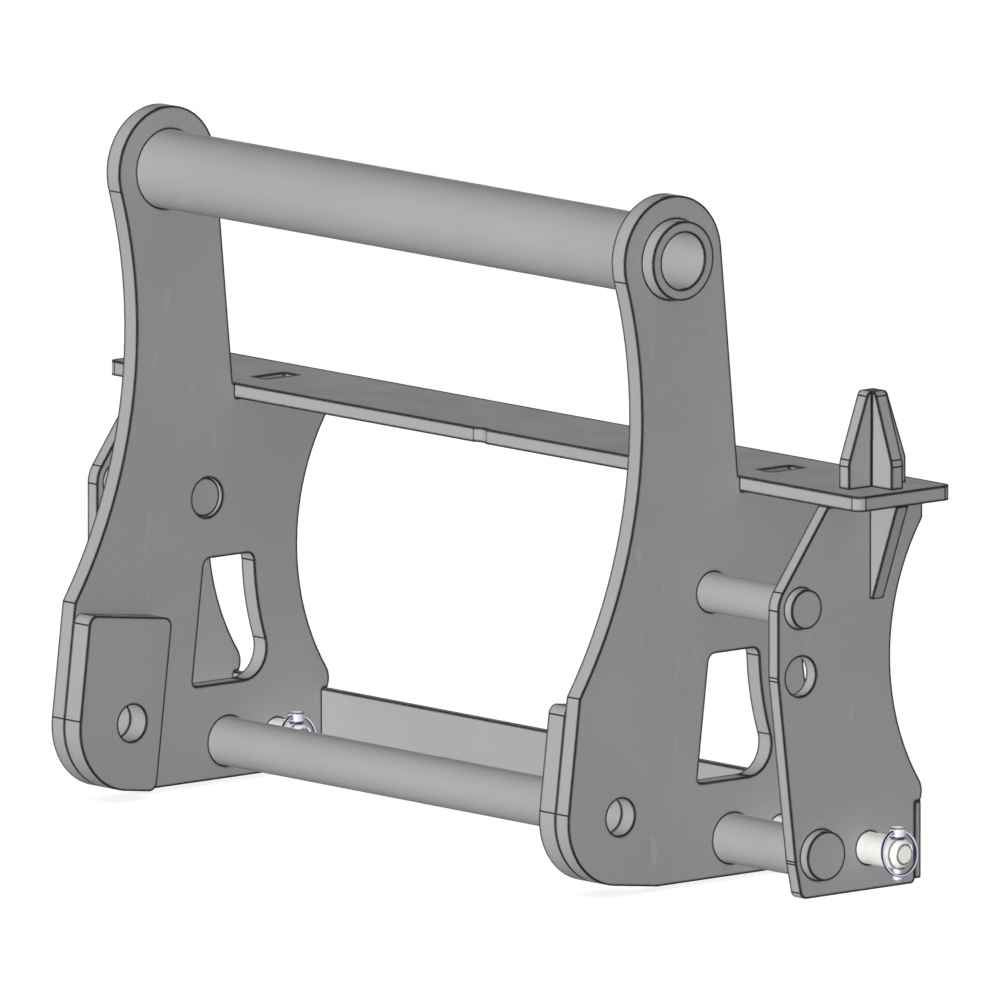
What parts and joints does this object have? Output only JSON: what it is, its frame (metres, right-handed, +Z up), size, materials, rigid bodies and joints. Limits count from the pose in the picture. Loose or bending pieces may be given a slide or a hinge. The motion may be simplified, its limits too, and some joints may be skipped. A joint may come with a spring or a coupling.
{
  "type": "loader adapter frame",
  "caption": "Welded adapter frame between a loader carriage and a tool: round hook tube, profiled side plates, slotted shelf with pointed lugs, cross bars and loose locking pins.",
  "frame": {"origin": "middle of the top tube's axis, half way between the main plates", "axes": "+X along the tube, to the picture's right; +Y from the loader towards the tool; +Z up"},
  "size_m": [1.1587, 0.3525, 0.6999],
  "materials": {
    "frame_steel": "flat grey paint over plate and bar steel",
    "pin_steel": "pale zinc plating",
    "clip_steel": "bright zinc plating"
  },
  "bodies": {
    "frame": {"top_tube": "frame_steel", "main_plate_left": "frame_steel", "main_plate_right": "frame_steel", "pin_pad_left": "frame_steel", "pin_pad_right": "frame_steel", "shelf_bar": "frame_steel", "outer_plate_left": "frame_steel", "outer_plate_right": "frame_steel", "lower_bar": "frame_steel", "upper_rod_left": "frame_steel", "upper_rod_right": "frame_steel", "rear_cross_bar": "frame_steel", "gusset_left": "frame_steel", "gusset_right": "frame_steel", "lug_spine_left": "frame_steel", "lug_spine_right": "frame_steel", "lug_cross_left": "frame_steel", "lug_cross_right": "frame_steel"},
    "locking_pin_left": {"locking_pin_left": "pin_steel"},
    "lynch_pin_left": {"lynch_pin_left": "clip_steel"},
    "lynch_ring_left": {"lynch_ring_left": "clip_steel"},
    "locking_pin_right": {"locking_pin_right": "pin_steel"},
    "lynch_pin_right": {"lynch_pin_right": "clip_steel"},
    "lynch_ring_right": {"lynch_ring_right": "clip_steel"}
  },
  "joints": [
    {"name": "locking_pin_slide_left", "type": "slide", "parent": "frame", "child": "locking_pin_left", "axis": [1, 0, 0], "range_m": [-0.0225, 0.012]},
    {"name": "lynch_pin_pull_left", "type": "slide", "parent": "locking_pin_left", "child": "lynch_pin_left", "axis": [0, 0, 1], "range_m": [0, 0.06]},
    {"name": "lynch_ring_swing_left", "type": "hinge", "parent": "lynch_pin_left", "child": "lynch_ring_left", "pos_m": [-0.346, 0.144, -0.5722], "axis": [0, -1, 0], "range_deg": [0, 120.5]},
    {"name": "locking_pin_slide_right", "type": "slide", "parent": "frame", "child": "locking_pin_right", "axis": [1, 0, 0], "range_m": [-0.035, 0]},
    {"name": "lynch_pin_pull_right", "type": "slide", "parent": "locking_pin_right", "child": "lynch_pin_right", "axis": [0, 0, 1], "range_m": [0, 0.06]},
    {"name": "lynch_ring_swing_right", "type": "hinge", "parent": "lynch_pin_right", "child": "lynch_ring_right", "pos_m": [0.5727, 0.144, -0.5722], "axis": [0, -1, 0], "range_deg": [0, 120.5]}
  ],
  "couplings": [
    {"joint": "lynch_ring_swing_left", "follows": "lynch_pin_pull_left", "rad_per_m": 34.9},
    {"joint": "lynch_ring_swing_right", "follows": "lynch_pin_pull_right", "rad_per_m": 34.9}
  ]
}
